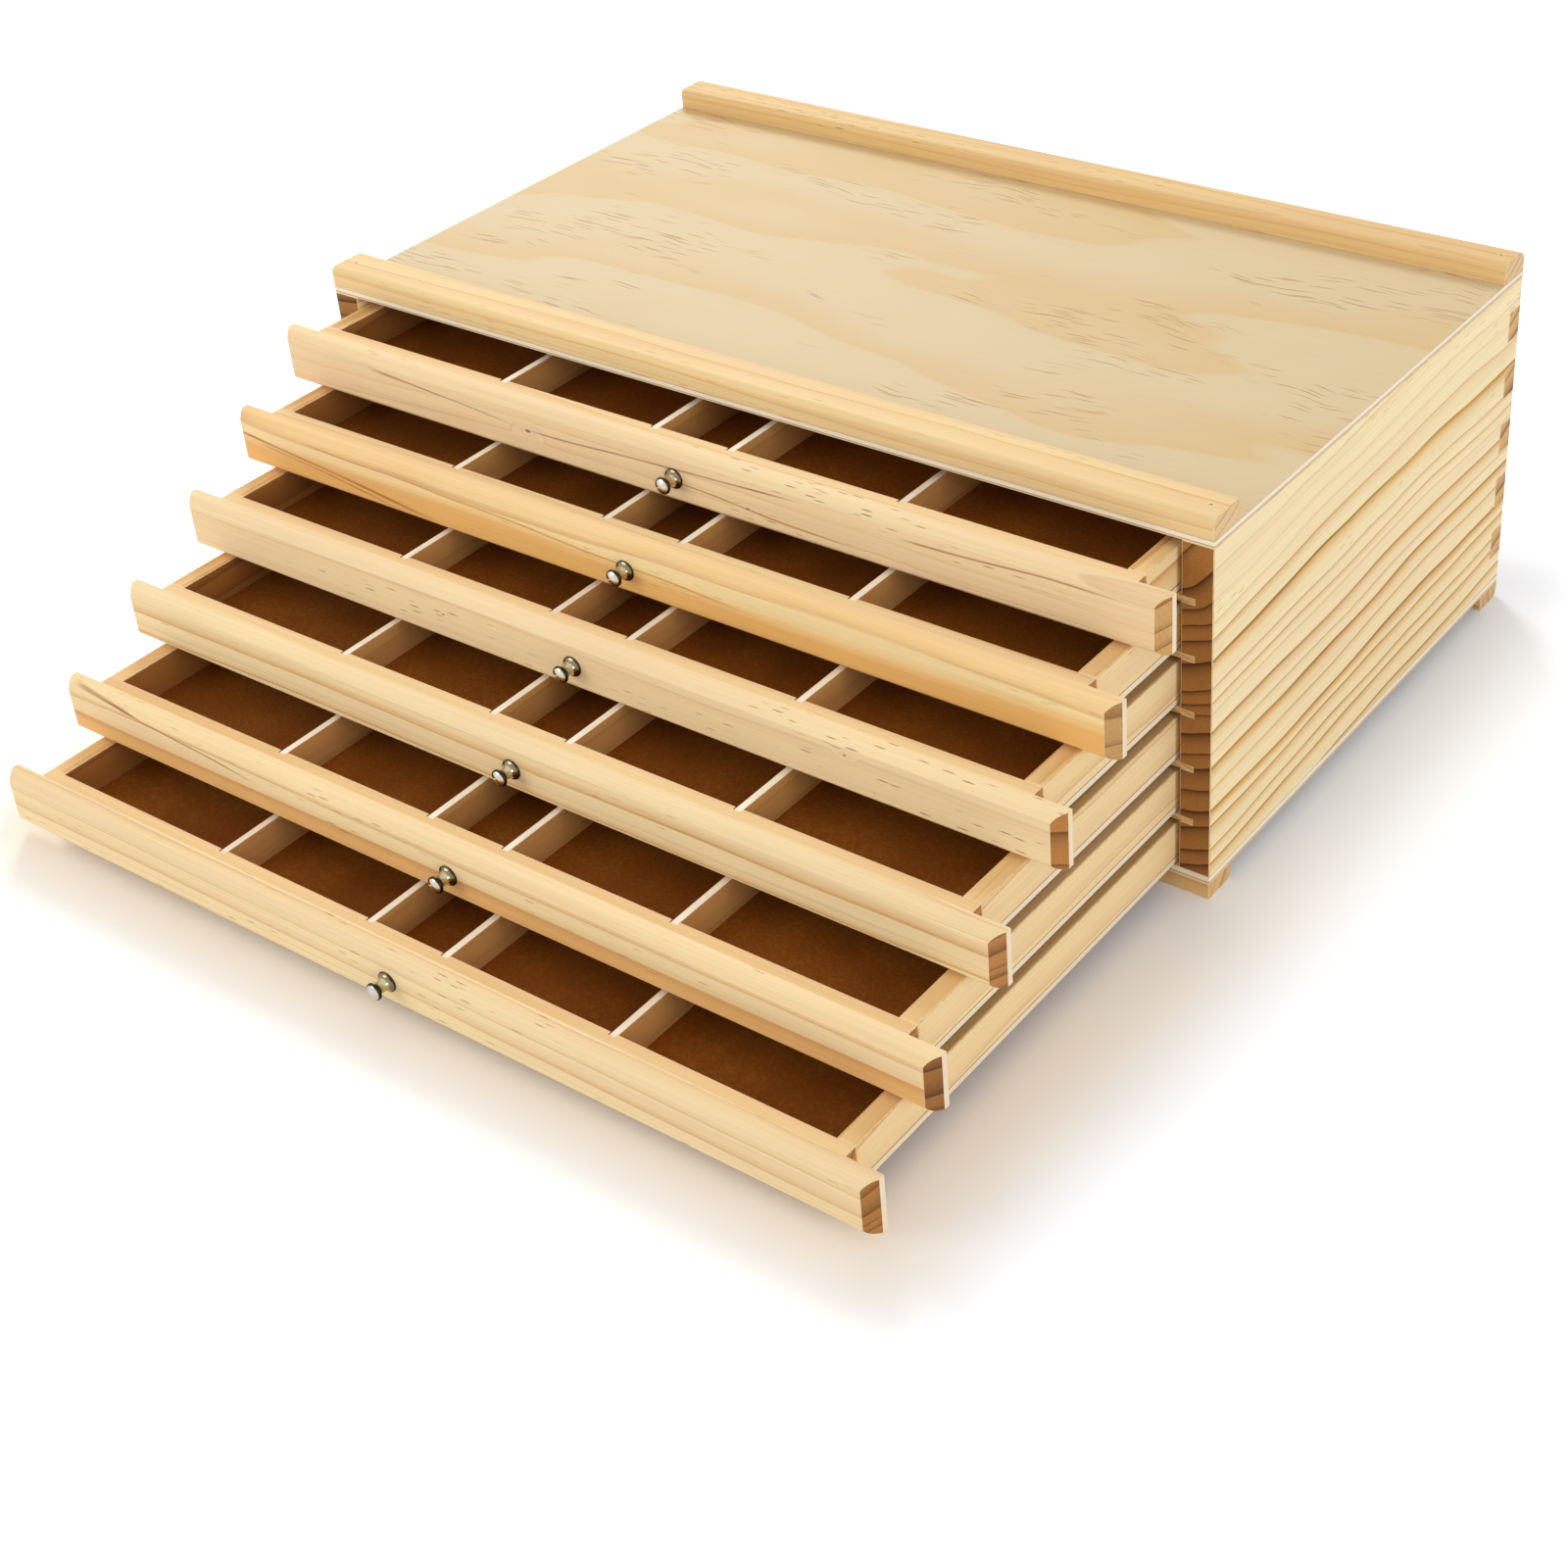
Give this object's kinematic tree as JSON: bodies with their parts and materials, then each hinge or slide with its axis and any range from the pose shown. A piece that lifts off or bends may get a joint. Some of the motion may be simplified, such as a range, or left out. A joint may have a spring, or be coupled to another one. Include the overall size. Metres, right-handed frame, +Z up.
{
  "type": "pencil drawer box",
  "caption": "Low pine case on two foot strips with a stack of shallow divided drawers, bevelled fronts and small turned knobs, for pencils and craft tools.",
  "frame": {"origin": "centre of the front foot strip's underside, on the surface the box stands on", "axes": "+X across the box to the viewer's right, +Y from the drawer fronts to the back, +Z up"},
  "size_m": [0.4, 0.4415, 0.1525],
  "materials": {
    "pine": "planed, bare",
    "plywood": "sanded, bare",
    "runner_wood": "sawn, bare",
    "hardboard": "smooth, pressed",
    "divider_board": "sanded, bare",
    "nickel": "polished",
    "wire_steel": "bare"
  },
  "bodies": {
    "case": {"side_left": "pine", "side_right": "pine", "back_panel": "pine", "base_panel": "plywood", "top_panel": "plywood", "front_rail": "pine", "rear_rail": "pine", "rail_pins": "wire_steel", "front_foot": "pine", "rear_foot": "pine", "runners_left": "runner_wood", "runners_right": "runner_wood"},
    "drawer1": {"drawer1_front": "pine", "drawer1_front_wall": "pine", "drawer1_side_left": "pine", "drawer1_side_right": "pine", "drawer1_back": "pine", "drawer1_bottom": "hardboard", "drawer1_dividers": "divider_board", "drawer1_knob": "nickel"},
    "drawer2": {"drawer2_front": "pine", "drawer2_front_wall": "pine", "drawer2_side_left": "pine", "drawer2_side_right": "pine", "drawer2_back": "pine", "drawer2_bottom": "hardboard", "drawer2_dividers": "divider_board", "drawer2_knob": "nickel"},
    "drawer3": {"drawer3_front": "pine", "drawer3_front_wall": "pine", "drawer3_side_left": "pine", "drawer3_side_right": "pine", "drawer3_back": "pine", "drawer3_bottom": "hardboard", "drawer3_dividers": "divider_board", "drawer3_knob": "nickel"},
    "drawer4": {"drawer4_front": "pine", "drawer4_front_wall": "pine", "drawer4_side_left": "pine", "drawer4_side_right": "pine", "drawer4_back": "pine", "drawer4_bottom": "hardboard", "drawer4_dividers": "divider_board", "drawer4_knob": "nickel"},
    "drawer5": {"drawer5_front": "pine", "drawer5_front_wall": "pine", "drawer5_side_left": "pine", "drawer5_side_right": "pine", "drawer5_back": "pine", "drawer5_bottom": "hardboard", "drawer5_dividers": "divider_board", "drawer5_knob": "nickel"},
    "drawer6": {"drawer6_front": "pine", "drawer6_front_wall": "pine", "drawer6_side_left": "pine", "drawer6_side_right": "pine", "drawer6_back": "pine", "drawer6_bottom": "hardboard", "drawer6_dividers": "divider_board", "drawer6_knob": "nickel"}
  },
  "joints": [
    {"name": "drawer1_slide", "type": "slide", "parent": "case", "child": "drawer1", "axis": [0, -1, 0], "range_m": [-0.0234, 0.1713]},
    {"name": "drawer2_slide", "type": "slide", "parent": "case", "child": "drawer2", "axis": [0, -1, 0], "range_m": [-0.0537, 0.141]},
    {"name": "drawer3_slide", "type": "slide", "parent": "case", "child": "drawer3", "axis": [0, -1, 0], "range_m": [-0.0857, 0.109]},
    {"name": "drawer4_slide", "type": "slide", "parent": "case", "child": "drawer4", "axis": [0, -1, 0], "range_m": [-0.1212, 0.0735]},
    {"name": "drawer5_slide", "type": "slide", "parent": "case", "child": "drawer5", "axis": [0, -1, 0], "range_m": [-0.1571, 0.0376]},
    {"name": "drawer6_slide", "type": "slide", "parent": "case", "child": "drawer6", "axis": [0, -1, 0], "range_m": [-0.1911, 0.0036]}
  ]
}
